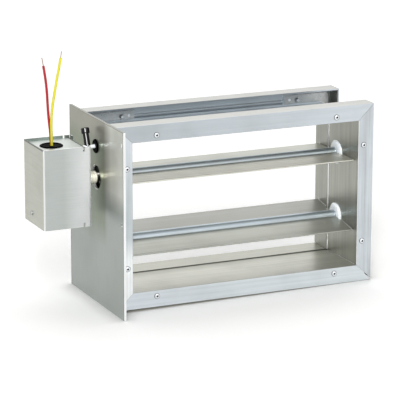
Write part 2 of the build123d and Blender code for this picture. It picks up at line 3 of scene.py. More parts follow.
import bpy
from bpy.props import FloatProperty, FloatVectorProperty, IntProperty, PointerProperty
from mathutils import Matrix, Vector


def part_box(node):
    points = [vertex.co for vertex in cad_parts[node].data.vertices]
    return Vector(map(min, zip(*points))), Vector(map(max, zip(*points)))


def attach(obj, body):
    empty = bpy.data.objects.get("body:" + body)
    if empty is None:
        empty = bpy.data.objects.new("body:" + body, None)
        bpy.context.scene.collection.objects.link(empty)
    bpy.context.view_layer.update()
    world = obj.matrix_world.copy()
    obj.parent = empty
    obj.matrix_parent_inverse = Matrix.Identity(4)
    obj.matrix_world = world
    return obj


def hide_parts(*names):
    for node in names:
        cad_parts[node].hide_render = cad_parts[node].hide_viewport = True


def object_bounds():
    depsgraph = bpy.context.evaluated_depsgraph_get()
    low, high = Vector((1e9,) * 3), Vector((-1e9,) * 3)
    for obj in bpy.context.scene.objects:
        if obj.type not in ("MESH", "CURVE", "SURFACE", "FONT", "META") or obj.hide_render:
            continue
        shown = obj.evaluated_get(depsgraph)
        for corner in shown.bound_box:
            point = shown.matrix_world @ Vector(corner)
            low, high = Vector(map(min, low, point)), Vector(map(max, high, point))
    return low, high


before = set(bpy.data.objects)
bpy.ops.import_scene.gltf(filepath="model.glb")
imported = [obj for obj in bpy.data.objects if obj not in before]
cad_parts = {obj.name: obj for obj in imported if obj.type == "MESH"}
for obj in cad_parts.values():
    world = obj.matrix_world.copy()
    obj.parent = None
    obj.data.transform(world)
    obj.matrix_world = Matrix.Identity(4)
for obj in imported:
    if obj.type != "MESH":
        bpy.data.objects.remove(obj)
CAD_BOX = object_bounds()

bl_info = {
    "name": "Zone damper",
    "version": (1, 0, 0),
    "blender": (4, 5, 0),
    "location": "3D View > Sidebar > Damper",
    "description": "Finishes the metals, bushings, actuator and leads of a duct zone damper, and sets its studio",
    "category": "Object",
}

MM = 0.001
# Colour sockets of a Mix node: its two inputs and its output
MIX_A, MIX_B, MIX_RESULT = 6, 7, 2
# Width and height of the studio's small cards, in metres
CARD_SIZE = (0.4, 0.5)
# The plate's lower edge is this far below the frame, and the frame's far end this far from it, in millimetres
PLATE_DROP, FRAME_LENGTH = 3.1, 298.45
# The photograph's viewpoint: lens and sensor width in millimetres, place in metres, and the camera's own axes
LENS, SENSOR_WIDTH = 218.58, 36.0
CAMERA_PLACE = (-0.91151, -2.29685, 0.65383)
CAMERA_RIGHT = (0.91291648, -0.40814124, 0.00205707)
CAMERA_UP = (0.10112998, 0.23108124, 0.9676643)
CAMERA_BACK = (-0.39541906, -0.88318865, 0.25223318)


def linear(hex_colour):
    """Linear RGB of an sRGB hex colour."""
    channels = [int(hex_colour[i:i + 2], 16) / 255 for i in (1, 3, 5)]
    return tuple(c / 12.92 if c <= 0.04045 else ((c + 0.055) / 1.055) ** 2.4 for c in channels)


def colour_property(name, hex_colour, description):
    """A colour the user may change, shown as a swatch."""
    return FloatVectorProperty(name=name, description=description, subtype="COLOR", size=3,
                               min=0.0, max=1.0, default=linear(hex_colour))


class DamperStageSettings(bpy.types.PropertyGroup):
    """Studio round the damper."""

    floor_width: FloatProperty(name="Floor width", description="Side of the square floor",
                               default=14.0, unit="LENGTH")
    floor_slope: FloatProperty(
        name="Floor slope", description="The damper stands on its plate and the far end of its frame, so the "
        "floor meets both", default=math.atan2(PLATE_DROP, FRAME_LENGTH), subtype="ANGLE")
    floor_colour: colour_property("Floor colour", "#F4F4F3", "Paper sweep")
    floor_glow: FloatProperty(name="Floor glow", description="White that reflections see besides the lit paper",
                              default=0.35)
    floor_exposure: FloatProperty(name="Floor exposure", description="How bright the camera sees the paper",
                                  default=1.48)
    contact_shade: FloatProperty(
        name="Contact shade", description="How bright the camera sees the paper close to the damper", default=0.5)
    contact_reach: FloatProperty(name="Contact reach", description="How far that shade reaches",
                                 default=0.02, unit="LENGTH")
    ambient: FloatProperty(name="Ambient level", description="Even light from all round", default=0.36)
    key_power: FloatProperty(name="Key light", description="Large soft box high on the left front",
                             default=17.0, unit="POWER")
    fill_power: FloatProperty(name="Fill light", description="Soft box at the front that lights behind the plate",
                              default=8.0, unit="POWER")
    strip_power: FloatProperty(name="Strip light", description="Narrow upright box, for lines in glossy pieces",
                               default=14.0, unit="POWER")
    top_power: FloatProperty(name="Top light", description="Wide overhead soft box behind the damper",
                             default=33.0, unit="POWER")
    card_power: FloatProperty(name="Cards", description="Small cards for the knob, pin, hub and far bushings",
                              default=22.0, unit="POWER")


class DamperMetalSettings(bpy.types.PropertyGroup):
    """Metal colours and grain of the frame, plate, blades and box."""

    frame_colour: colour_property("Frame aluminium", "#D5DCE2", "Mill finish aluminium extrusion")
    # Both blades are one sheet; the lower blade's duller colour is painted shade
    blade_colour: colour_property("Upper blade", "#E5E4D9", "Rolled aluminium sheet")
    lower_blade_shaded_colour: colour_property("Lower blade", "#B3B5AD", "Duller rolled aluminium sheet")
    plate_colour: colour_property("Plate", "#9FA5A1", "Brushed zinc plated sheet")
    box_colour: colour_property("Actuator box", "#B3B8B6", "Brushed zinc plated sheet")
    zinc_colour: colour_property("Zinc plate", "#C2C4C4", "Clear passivated zinc on small steel pieces")
    steel_colour: colour_property("Bright steel", "#D4D2CC", "Cold drawn shafts")
    casting_colour: colour_property("Casting", "#A0A1A2", "Tumbled die casting")
    die_line: FloatProperty(name="Die line spacing", description="Streaks along an extrusion",
                            default=2.2 * MM, unit="LENGTH", precision=5)
    brush_line: FloatProperty(name="Brush line spacing", description="Lines of the brushed sheet",
                              default=1.3 * MM, unit="LENGTH", precision=5)


class DamperPlasticSettings(bpy.types.PropertyGroup):
    """Colours of the nylon, rubber and knob."""

    nylon_colour: colour_property("Nylon", "#F3F9FE", "Natural nylon bushings")
    rubber_colour: colour_property("Rubber", "#030304", "Grommets")
    knob_colour: colour_property("Knob", "#040405", "Moulded phenolic knob")


class DamperLeadSettings(bpy.types.PropertyGroup):
    """The two leads."""

    diameter: FloatProperty(name="Lead diameter", description="Over the insulation",
                            default=2.7 * MM, unit="LENGTH", precision=5)
    strands: IntProperty(name="Strands", description="Outer strands round the middle one", default=6, min=3)
    strand_diameter: FloatProperty(name="Strand diameter", description="One tinned strand",
                                   default=0.42 * MM, unit="LENGTH", precision=5)
    twist_pitch: FloatProperty(name="Twist pitch", description="Length of one turn of the strands",
                               default=11.0 * MM, unit="LENGTH", precision=5)
    red_colour: colour_property("Red insulation", "#C11C2C", "PVC")
    yellow_colour: colour_property("Yellow insulation", "#FFF73A", "PVC")
    copper_colour: colour_property("Tinned copper", "#C9BDB6", "Bare strands")


def add_node(tree, kind, values=None, links=None, **settings):
    """Add a shader node with its settings, input values and incoming links."""
    node = tree.nodes.new(kind)
    for name, value in settings.items():
        setattr(node, name, value)
    for name, value in (values or {}).items():
        node.inputs[name].default_value = value
    for name, socket in (links or {}).items():
        tree.links.new(socket, node.inputs[name])
    return node


def start_material(name, colour, metallic, roughness):
    """A principled material with its plain values, and its tree and shader."""
    material = bpy.data.materials.new(name)
    material.use_nodes = True
    shader = material.node_tree.nodes["Principled BSDF"]
    shader.inputs["Base Color"].default_value = (*colour, 1.0)
    shader.inputs["Metallic"].default_value = metallic
    shader.inputs["Roughness"].default_value = roughness
    return material, material.node_tree, shader


def pattern(tree, size, detail=2.0, roughness=0.5):
    """Noise in the damper's own coordinates with one feature size, in metres, along each axis."""
    place = add_node(tree, "ShaderNodeTexCoord")
    scaled = add_node(tree, "ShaderNodeMapping", {"Scale": [1 / s for s in size]},
                      {"Vector": place.outputs["Object"]})
    return add_node(tree, "ShaderNodeTexNoise", {"Scale": 1.0, "Detail": detail, "Roughness": roughness},
                    {"Vector": scaled.outputs["Vector"]}).outputs["Fac"]


def spread(tree, socket, low, high, start=0.3, end=0.7):
    """Stretch a noise, or any value between start and end, to a range of values."""
    values = {"From Min": start, "From Max": end, "To Min": low, "To Max": high}
    return add_node(tree, "ShaderNodeMapRange", values, {"Value": socket}).outputs["Result"]


def tint(tree, shader, colour, parts):
    """Base colour changed in turn by each (factor socket, hex colour, share)."""
    socket = None
    for factor, hex_colour, share in parts:
        weight = add_node(tree, "ShaderNodeMath", {1: share}, {0: factor}, operation="MULTIPLY").outputs[0]
        mix = add_node(tree, "ShaderNodeMix", links={"Factor": weight}, data_type="RGBA")
        mix.inputs[MIX_B].default_value = (*linear(hex_colour), 1.0)
        if socket is None:
            mix.inputs[MIX_A].default_value = (*colour, 1.0)
        else:
            tree.links.new(socket, mix.inputs[MIX_A])
        socket = mix.outputs[MIX_RESULT]
    tree.links.new(socket, shader.inputs["Base Color"])


def measure(tree, kind, axis):
    """One axis of the damper's own coordinates, or of a surface's direction."""
    place = add_node(tree, "ShaderNodeTexCoord")
    return add_node(tree, "ShaderNodeSeparateXYZ", links={"Vector": place.outputs[kind]}).outputs[axis]


def facing(tree, side):
    """One where a surface faces a side, either way as "Z" or one way only as "+Z" or "-Z".

    It fades out between 32 and 53 degrees off that side, whose cosines are 0.85 and 0.6.
    """
    sign = -1.0 if side[0] == "-" else 1.0
    turn = add_node(tree, "ShaderNodeMath", {1: sign}, {0: measure(tree, "Normal", side[-1])},
                    operation="MULTIPLY")
    if len(side) == 1:
        turn = add_node(tree, "ShaderNodeMath", links={0: turn.outputs[0]}, operation="ABSOLUTE")
    return spread(tree, turn.outputs[0], 0.0, 1.0, 0.6, 0.85)


def where(tree, spans):
    """One inside every span: a side that a surface faces, or (axis, start, end) for a rise between two places."""
    total = None
    for span in spans:
        if isinstance(span, str):
            factor = facing(tree, span)
        else:
            axis, start, end = span
            factor = spread(tree, measure(tree, "Object", axis), 0.0, 1.0, start, end)
        if total is not None:
            links = {0: total, 1: factor}
            factor = add_node(tree, "ShaderNodeMath", links=links, operation="MULTIPLY").outputs[0]
        total = factor
    return total


def folds(tree):
    """One on bends and rounded edges, which face between two axes, and zero on flats.

    It grows between 10 and 33 degrees off an axis, whose cosines are 0.985 and 0.84.
    """
    largest = None
    for axis in "XYZ":
        size = add_node(tree, "ShaderNodeMath", links={0: measure(tree, "Normal", axis)}, operation="ABSOLUTE")
        links = {0: size.outputs[0], 1: largest if largest else size.outputs[0]}
        largest = add_node(tree, "ShaderNodeMath", links=links, operation="MAXIMUM").outputs[0]
    return spread(tree, largest, 1.0, 0.0, 0.84, 0.985)


def relief(tree, shader, parts):
    """Chain of bumps from (height socket, depth in metres, strength)."""
    normal = None
    for height, depth, strength in parts:
        links = {"Height": height}
        if normal is not None:
            links["Normal"] = normal
        values = {"Strength": strength, "Distance": depth}
        normal = add_node(tree, "ShaderNodeBump", values, links).outputs["Normal"]
    tree.links.new(normal, shader.inputs["Normal"])


def lined_metal(name, colour, roughness, along, line, streak=0.12, cloud=0.045, stain="#8F8C84",
                stain_share=0.35, painted_shading=(), fold_shading=None, fold_metallic=0.2, line_share=0.1, metallic=1.0):
    """Metal whose fine lines run along one or two axes, with soft clouds of handling marks.

    Painted shading lists (spans, colour, share) of painted light and shade in other tones, and fold shading is
    the colour of the painted highlight or shade on bends and edges.
    """
    material, tree, shader = start_material(name, colour, metallic, roughness)
    size = [streak if axis in along else line for axis in "XYZ"]
    lines = pattern(tree, size, detail=4.0, roughness=0.6)
    clouds = pattern(tree, [cloud, cloud, cloud], detail=3.0)
    rough = add_node(tree, "ShaderNodeMath", {2: roughness - 0.05},
                     {0: spread(tree, lines, 0.0, 1.0), 1: spread(tree, clouds, 0.05, 0.13)},
                     operation="MULTIPLY_ADD").outputs[0]
    tree.links.new(rough, shader.inputs["Roughness"])
    parts = [(where(tree, spans), tone, share) for spans, tone, share in painted_shading]
    parts += [(spread(tree, lines, 0.0, 1.0), stain, line_share),
              (spread(tree, clouds, 0.0, 1.0, 0.45, 0.75), stain, stain_share)]
    # Bends take the fold colour, a painted highlight or shade, with their own metallic
    if fold_shading:
        bends = folds(tree)
        parts.append((bends, fold_shading, 1.0))
        tree.links.new(spread(tree, bends, metallic, fold_metallic, 0.0, 1.0), shader.inputs["Metallic"])
    tint(tree, shader, colour, parts)
    relief(tree, shader, [(lines, 0.05 * MM, 0.25), (clouds, 0.2 * MM, 0.1)])
    return material


def assign(nodes, material):
    """Give CAD pieces a finish on every slot."""
    for name in nodes:
        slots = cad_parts[name].data.materials
        slots.clear()
        slots.append(material)


def extruded_aluminium(place, along, painted_shading, fold_shading, line_share=0.12, line=1.0):
    """6063 aluminium as it leaves the die: satin and pale blue-grey, with lines along the extrusion, drawn coarse
    enough to show; its warmer webs and the tones of its edges and places are painted light and shade."""
    metal = bpy.context.scene.damper_metal
    return lined_metal("extruded_aluminium_mill_" + place, metal.frame_colour, 0.34, along,
                       line * metal.die_line, streak=0.16, stain="#787A76", stain_share=0.18, painted_shading=painted_shading,
                       fold_shading=fold_shading, fold_metallic=0.9, line_share=line_share)


def brushed_zinc_sheet(name, colour, along, painted_shading, line_share=0.1, metallic=1.0):
    """Zinc plated sheet brushed with a belt: grey, slightly green, with lines drawn coarse enough to show,
    reflections drawn out across them, and a painted highlight on the bends."""
    metal = bpy.context.scene.damper_metal
    return lined_metal(name, colour, 0.36, along, metal.brush_line, streak=0.03, stain="#7C7F75",
                       stain_share=0.15, painted_shading=painted_shading, fold_shading="#F4F6F6", line_share=line_share, metallic=metallic)


def clear_zinc(name="zinc_plate_clear", mottle_share=0.5, metallic=1.0, painted_shading=()):
    """Barrel plated, clear passivated zinc on stamped steel: bluish grey and mottled at a few millimetres."""
    colour = bpy.context.scene.damper_metal.zinc_colour
    material, tree, shader = start_material(name, colour, metallic, 0.34)
    mottle = pattern(tree, [3 * MM] * 3, detail=3.0)
    tree.links.new(spread(tree, mottle, 0.26, 0.44), shader.inputs["Roughness"])
    # Painted light and shade in the listed places, then the mottle
    parts = [(where(tree, spans), tone, share) for spans, tone, share in painted_shading]
    tint(tree, shader, colour, [*parts, (spread(tree, mottle, 0.0, 1.0), "#8E9296", mottle_share)])
    relief(tree, shader, [(mottle, 0.05 * MM, 0.2)])
    return material


def drawn_steel():
    """Cold drawn bright steel: pale, with draw lines along the shaft."""
    metal = bpy.context.scene.damper_metal
    return lined_metal("drawn_steel_bright", metal.steel_colour, 0.24, "X", 0.8 * MM, streak=0.06,
                       stain="#9A958A", stain_share=0.25)


def moulded(name, colour, roughness, texture, coat=0.0, depth=0.02):
    """Moulded plastic or rubber: plain colour with the fine skin of its mould and faint darker patches."""
    material, tree, shader = start_material(name, colour, 0.0, roughness)
    shader.inputs["Coat Weight"].default_value = coat
    shader.inputs["Coat Roughness"].default_value = 0.05
    skin = pattern(tree, [texture] * 3, detail=3.0)
    patches = pattern(tree, [9 * MM] * 3)
    tree.links.new(spread(tree, patches, roughness - 0.04, roughness + 0.06), shader.inputs["Roughness"])
    # The same colour at about three quarters of its sRGB level
    brightest = 190
    dark = "#" + "".join("%02X" % round(brightest * min(1.0, c ** (1 / 2.2) + 0.02)) for c in colour)
    tint(tree, shader, colour, [(spread(tree, skin, 0.0, 1.0), dark, 0.12),
                                (spread(tree, patches, 0.0, 1.0), dark, 0.1)])
    relief(tree, shader, [(skin, depth * MM, 0.3)])
    return material


class DAMPER_OT_stage(bpy.types.Operator):
    """Set the floor, world, lamps and camera"""

    bl_idname = "damper.stage"
    bl_label = "Studio"

    def execute(self, context):
        settings = context.scene.damper_stage
        self.make_world(context.scene, settings)
        self.make_floor(settings)
        # Place and size in metres, and power
        lamps = {
            "key_light": ((-1.5, -2.0, 1.9), (1.5, 1.5), settings.key_power),
            "fill_light": ((0.6, -2.7, 1.0), (1.2, 1.2), settings.fill_power),
            "strip_light": ((-0.95, -2.1, 1.5), (0.22, 1.1), settings.strip_power),
            "top_light": ((0.6, 1.2, 2.2), (3.6, 3.6), settings.top_power),
        }
        for name, (place, size, power) in lamps.items():
            self.make_lamp(name, place, (CAD_BOX[0] + CAD_BOX[1]) / 2, size, power)
        # Pieces lit, place in metres, and share of the cards' power
        cards = {
            "knob_card": (["lock_knob"], (-0.375, -0.729, 0.479), 1.0),
            "gap_card": (["lock_pin", "output_hub"], (-0.2, -0.75, 0.45), 0.45),
            "bushing_card": (["bushing_upper_right", "bushing_lower_right"], (-0.1, -0.9, 0.35), 0.35),
        }
        for name, (nodes, place, share) in cards.items():
            self.make_card(name, nodes, place, share * settings.card_power)
        self.make_camera(context.scene)
        return {"FINISHED"}

    def make_world(self, scene, settings):
        """White to the camera and in reflections, an even grey as light."""
        world = bpy.data.worlds.new("studio_world")
        world.use_nodes = True
        tree = world.node_tree
        tree.nodes.clear()
        seen = self.seen_rays(tree)
        white = add_node(tree, "ShaderNodeBackground", {"Color": (1, 1, 1, 1), "Strength": 1.0})
        ambient = add_node(tree, "ShaderNodeBackground", {"Color": (1, 1, 1, 1), "Strength": settings.ambient})
        mix = add_node(tree, "ShaderNodeMixShader", links={0: seen, 1: ambient.outputs[0], 2: white.outputs[0]})
        add_node(tree, "ShaderNodeOutputWorld", links={"Surface": mix.outputs[0]})
        scene.world = world
        scene.view_settings.view_transform = "Standard"

    def seen_rays(self, tree):
        """One for camera, glossy and transmission rays."""
        path = add_node(tree, "ShaderNodeLightPath")
        seen = path.outputs["Is Camera Ray"]
        for kind in ("Is Glossy Ray", "Is Transmission Ray"):
            links = {0: seen, 1: path.outputs[kind]}
            seen = add_node(tree, "ShaderNodeMath", links=links, operation="MAXIMUM").outputs[0]
        return seen

    def make_floor(self, settings):
        """Paper floor through the plate's lower edge and the far end of the frame."""
        half = settings.floor_width / 2
        mesh = bpy.data.meshes.new("floor")
        corners = [(-half, -half, 0), (half, -half, 0), (half, half, 0), (-half, half, 0)]
        mesh.from_pydata(corners, [], [(0, 1, 2, 3)])
        floor = bpy.data.objects.new("floor", mesh)
        bpy.context.scene.collection.objects.link(floor)
        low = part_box("mounting_plate")[0]
        floor.location = (low.x, 0, low.z)
        floor.rotation_euler = (0, -settings.floor_slope, 0)
        mesh.materials.append(self.matt_paper(settings))

    def matt_paper(self, settings):
        """White paper that the camera sees brighter, but for a shade close to the damper, and that glows in
        reflections."""
        material, tree, shader = start_material("paper_sweep_matt", settings.floor_colour, 0.0, 0.9)
        path = add_node(tree, "ShaderNodeLightPath")
        near = add_node(tree, "ShaderNodeAmbientOcclusion", {"Distance": settings.contact_reach}, samples=8)
        shade = add_node(tree, "ShaderNodeMix", links={"Factor": near.outputs["AO"]}, data_type="RGBA")
        paper = add_node(tree, "ShaderNodeMix", links={"Factor": path.outputs["Is Camera Ray"]},
                         data_type="RGBA")
        levels = ((shade.inputs[MIX_A], settings.contact_shade),
                  (shade.inputs[MIX_B], settings.floor_exposure), (paper.inputs[MIX_A], 1.0))
        for socket, level in levels:
            socket.default_value = (*(level * c for c in settings.floor_colour), 1.0)
        tree.links.new(shade.outputs[MIX_RESULT], paper.inputs[MIX_B])
        tree.links.new(paper.outputs[MIX_RESULT], shader.inputs["Base Color"])
        glow = add_node(tree, "ShaderNodeMath", {1: settings.floor_glow}, {0: path.outputs["Is Glossy Ray"]},
                        operation="MULTIPLY")
        white = add_node(tree, "ShaderNodeEmission", {"Color": (1, 1, 1, 1)}, {"Strength": glow.outputs[0]})
        total = add_node(tree, "ShaderNodeAddShader", links={0: shader.outputs[0], 1: white.outputs[0]})
        tree.links.new(total.outputs[0], tree.nodes["Material Output"].inputs["Surface"])
        return material

    def make_lamp(self, name, place, target, size, power):
        """Rectangular soft box aimed at a place."""
        lamp = bpy.data.lights.new(name, "AREA")
        lamp.shape = "RECTANGLE"
        lamp.size, lamp.size_y = size
        lamp.energy = power
        holder = bpy.data.objects.new(name, lamp)
        bpy.context.scene.collection.objects.link(holder)
        holder.location = place
        holder.rotation_mode = "QUATERNION"
        holder.rotation_quaternion = (Vector(target) - Vector(place)).to_track_quat("-Z", "Y")
        return holder

    def make_card(self, name, nodes, place, power):
        """Small card above the front that lights only a few pieces, for the highlights on them."""
        low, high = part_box(nodes[0])
        card = self.make_lamp(name, place, (low + high) / 2, CARD_SIZE, power)
        card.visible_camera = False
        lit = bpy.data.collections.new("lit_by_" + name)
        for node in nodes:
            lit.objects.link(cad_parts[node])
        card.light_linking.receiver_collection = lit

    def make_camera(self, scene):
        """Camera fitted to the photograph's perspective."""
        lens = bpy.data.cameras.new("camera")
        lens.sensor_width = SENSOR_WIDTH
        lens.lens = LENS
        lens.clip_end = 40.0
        camera = bpy.data.objects.new("camera", lens)
        scene.collection.objects.link(camera)
        axes = [Vector(axis) for axis in (CAMERA_RIGHT, CAMERA_UP, CAMERA_BACK)]
        camera.matrix_world = Matrix.Translation(CAMERA_PLACE) @ Matrix(axes).transposed().to_4x4()
        scene.camera = camera


class DAMPER_OT_frame(bpy.types.Operator):
    """Finish the four channels, each with its lines along its own length"""

    bl_idname = "damper.frame"
    bl_label = "Frame channels"

    def execute(self, context):
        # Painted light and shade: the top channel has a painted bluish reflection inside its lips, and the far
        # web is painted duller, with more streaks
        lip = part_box("rail_top")[1].z
        inside = ("Z", lip - 1.5 * MM, lip - 2.5 * MM)
        # Top rail: painted shade darker towards the plate end and on its lips and web, and a painted tone on its
        # edges
        assign(["rail_top"], extruded_aluminium("top", "X", [
            ([("X", 0.38, 0.03)], "#B0B7BC", 0.9),
            (["Z"], "#BEBEBA", 1.0),
            (["+Z", inside], "#C0C9CE", 1.0),
        ], fold_shading="#BCC0C2"))
        # Bottom rail: painted paler towards the far end, painted shade on its webs and darker at the rear,
        # painted shade on its edges
        assign(["rail_bottom"], extruded_aluminium("bottom", "X", [
            ([("X", 0.03, 0.13)], "#DAE1E5", 1.0),
            (["Z"], "#C7C7BD", 1.0),
            (["Z", ("Y", 0.0, 0.01)], "#B3B3A8", 1.0),
        ], fold_shading="#A3A59F", line_share=0.22, line=1.4))
        # Left rail: painted darker below its middle, painted pale near its foot, painted shade on its sideways
        # faces, a painted tone on its edges
        assign(["rail_left"], extruded_aluminium("left", "Z", [
            ([("Z", 0.06, 0.0)], "#C3CBD0", 1.0),
            ([("Z", -0.02, -0.045)], "#F8FBFC", 1.0),
            (["X"], "#A8A9A2", 1.0),
        ], fold_shading="#D5DADC", line_share=0.3))
        # Right rail: a painted tone low down, painted shade on its sideways web and darker towards the top, a
        # painted white highlight on its bead and edges
        assign(["rail_right"], extruded_aluminium("right", "Z", [
            ([("Z", 0.02, -0.05)], "#D4DBE1", 1.0),
            (["X"], "#AAABA2", 1.0),
            (["X", ("Z", 0.0, 0.07)], "#989990", 1.0),
        ], fold_shading="#FFFFFF", line_share=0.45, line=1.6))
        return {"FINISHED"}


class DAMPER_OT_corners(bpy.types.Operator):
    """Finish the corner keys and the blind rivets"""

    bl_idname = "damper.corners"
    bl_label = "Corner keys and rivets"

    def execute(self, context):
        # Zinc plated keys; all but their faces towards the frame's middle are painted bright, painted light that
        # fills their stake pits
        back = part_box("corner_keys_rear")[0].y
        bare = [([("Y", side * (back + 0.1 * MM), side * (back + 0.3 * MM))], "#FAFDFF", 1.0)
                for side in (-1, 1)]
        keys = clear_zinc("zinc_plate_keys", mottle_share=0.3, metallic=0.65, painted_shading=bare)
        assign(["corner_keys_front", "corner_keys_rear"], keys)
        # The rivets' dark base colour is painted shade round their rims and in their eyes
        assign(["frame_rivets_front", "frame_rivets_rear"], self.pressed_rivet(linear("#101112")))
        return {"FINISHED"}

    def pressed_rivet(self, colour):
        """Domed aluminium rivets, pressed: bright on the dome and the swollen tail, with painted shade round the
        rim and in the eye."""
        material, tree, shader = start_material("aluminium_rivet_pressed", colour, 1.0, 0.3)
        dents = pattern(tree, [1.2 * MM] * 3, detail=3.0)
        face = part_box("rail_top")[1].y
        domes = []
        for side in (-1, 1):
            rise = ("Y", side * (face + 0.35 * MM), side * (face + 0.65 * MM))
            domes.append((where(tree, ["Y", rise]), "#E2E6E9", 1.0))
        tail = face - 0.6 * MM
        tails = where(tree, [("Y", tail, tail - 0.3 * MM), ("Y", -tail, 0.3 * MM - tail)])
        tint(tree, shader, colour, [*domes, (tails, "#D9DEE1", 1.0),
                                    (spread(tree, dents, 0.0, 1.0), "#7E8286", 0.1)])
        relief(tree, shader, [(dents, 0.05 * MM, 0.3)])
        return material


class DAMPER_OT_plate(bpy.types.Operator):
    """Finish the side mounting plate"""

    bl_idname = "damper.plate"
    bl_label = "Mounting plate"

    def execute(self, context):
        # Painted light and shade: warmer towards the top, a greenish painted reflection beside the gearbox, pale
        # in front of that, a painted dark line along the sheared edges, which are painted bright in front and
        # behind and duller on top
        colour = context.scene.damper_metal.plate_colour
        low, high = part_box("mounting_plate")
        beside = [("Z", -0.035, -0.01), ("Z", 0.085, 0.07), ("Y", -0.03, -0.023)]
        painted_shading = [
            ([("Z", 0.015, 0.05)], "#9B998C", 0.9),
            (beside, "#7F8A74", 0.8),
            ([("Z", 0.01, 0.03), ("Y", -0.022, -0.042)], "#F0F1EA", 0.9),
            ([("Y", high.y - 1.9 * MM, high.y - 1.3 * MM)], "#63645D", 0.75),
            ([("Y", low.y + 1.9 * MM, low.y + 1.3 * MM)], "#6E716C", 0.6),
            ([("Z", high.z - 1.1 * MM, high.z - 0.6 * MM)], "#7A7A70", 0.6),
            ([("Y", low.y + 0.1 * MM, low.y + 0.02 * MM)], "#F8FAFA", 1.0),
            ([("Y", high.y - 0.1 * MM, high.y - 0.02 * MM)], "#F8FAFA", 1.0),
            ([("Z", high.z - 0.1 * MM, high.z - 0.02 * MM)], "#97988F", 1.0),
        ]
        assign(["mounting_plate"], brushed_zinc_sheet("zinc_sheet_brushed_plate", colour, "Z", painted_shading,
                                                      line_share=0.04, metallic=0.6))
        return {"FINISHED"}


class DAMPER_OT_bushings(bpy.types.Operator):
    """Finish the nylon bushings and the push-on rings"""

    bl_idname = "damper.bushings"
    bl_label = "Bushings and rings"

    def execute(self, context):
        # Natural nylon 66, injection moulded: milky and slightly blue, light sinks in a little
        colour = context.scene.damper_plastic.nylon_colour
        nylon = moulded("nylon_66_moulded", colour, 0.24, 0.8 * MM, coat=0.5)
        shader = nylon.node_tree.nodes["Principled BSDF"]
        shader.inputs["Subsurface Weight"].default_value = 0.25
        shader.inputs["Subsurface Radius"].default_value = (1.0, 1.1, 1.2)
        shader.inputs["Subsurface Scale"].default_value = 1.2 * MM
        assign([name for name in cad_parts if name.startswith("bushing_")], nylon)
        # Spring steel, oil blackened and rubbed: dark grey with pale patches
        colour = linear("#6F7073")
        ring, tree, shader = start_material("spring_steel_oiled", colour, 1.0, 0.35)
        rub = pattern(tree, [2 * MM] * 3, detail=3.0)
        tint(tree, shader, colour, [(spread(tree, rub, 0.0, 1.0), "#9B9CA0", 0.5)])
        relief(tree, shader, [(rub, 0.04 * MM, 0.2)])
        assign(["upper_retaining_ring", "lower_retaining_ring"], ring)
        return {"FINISHED"}


class DAMPER_OT_blades(bpy.types.Operator):
    """Finish the two blades"""

    bl_idname = "damper.blades"
    bl_label = "Blades"

    def execute(self, context):
        # Aluminium sheet as rolled: satin, warm grey, with long roll lines along the blade; its rear half is
        # painted duller, a painted shade, and a painted bluish reflection lies on the fold round the shaft
        metal = context.scene.damper_metal
        fold_shading = [("Y", -0.0075, -0.005), ("Y", 0.0085, 0.006)]
        # Colour, painted shade of the rear half and painted reflection on the fold; the lower blade's darker
        # tones are painted shade
        tones = {"upper_blade": (metal.blade_colour, "#C3C5BB", "#CAD8E2"),
                 "lower_blade": (metal.lower_blade_shaded_colour, "#949590", "#BFCDD8")}
        for node, (colour, rear, ridge_sheen) in tones.items():
            painted_shading = [([("Y", -0.002, 0.006)], rear, 1.0), (fold_shading, ridge_sheen, 0.9)]
            assign([node], lined_metal("aluminium_sheet_rolled_" + node, colour, 0.38, "X", metal.die_line,
                                       streak=0.2, stain="#8F8D86", stain_share=0.2, line_share=0.25,
                                       metallic=0.82, painted_shading=painted_shading))
        return {"FINISHED"}


class DAMPER_OT_shafts(bpy.types.Operator):
    """Finish the shafts and the lock pin"""

    bl_idname = "damper.shafts"
    bl_label = "Shafts"

    def execute(self, context):
        assign(["drive_shaft", "lower_shaft"], drawn_steel())
        # Ground pin, flashed with bright zinc: almost white, with a cool cast
        pin = lined_metal("steel_pin_ground", linear("#F3F8FB"), 0.3, "X", 0.8 * MM, stain_share=0.1,
                          metallic=0.45)
        assign(["lock_pin"], pin)
        return {"FINISHED"}


class DAMPER_OT_linkage(bpy.types.Operator):
    """Finish the cranks, their pins and screws, and the tie bar"""

    bl_idname = "damper.linkage"
    bl_label = "Linkage"

    def execute(self, context):
        assign(["upper_crank", "lower_crank", "upper_crank_pin", "lower_crank_pin", "tie_bar"], clear_zinc())
        # Alloy steel screws, black oxide from a hot bath: satin and nearly black
        colour = linear("#35363A")
        screw, tree, shader = start_material("black_oxide_screw", colour, 1.0, 0.36)
        skin = pattern(tree, [1 * MM] * 3, detail=3.0)
        tint(tree, shader, colour, [(spread(tree, skin, 0.0, 1.0), "#57585C", 0.5)])
        relief(tree, shader, [(skin, 0.03 * MM, 0.2)])
        assign(["upper_crank_screw", "lower_crank_screw", "hub_set_screw"], screw)
        return {"FINISHED"}


class DAMPER_OT_lock(bpy.types.Operator):
    """Finish the lock knob and both grommets"""

    bl_idname = "damper.lock"
    bl_label = "Knob and grommets"

    def execute(self, context):
        plastic = context.scene.damper_plastic
        # Phenolic knob from a polished mould: deep black with narrow, hard highlights
        knob = moulded("phenolic_polished", plastic.knob_colour, 0.1, 1.5 * MM, coat=0.6, depth=0.004)
        # EPDM rubber, moulded: black and nearly matt
        rubber = moulded("epdm_rubber_moulded", plastic.rubber_colour, 0.5, 0.9 * MM)
        for material, level in ((knob, 0.0), (rubber, 0.01)):
            shader = material.node_tree.nodes["Principled BSDF"]
            shader.inputs["Specular IOR Level"].default_value = level
        assign(["lock_knob"], knob)
        assign(["pin_grommet", "wire_grommet"], rubber)
        return {"FINISHED"}


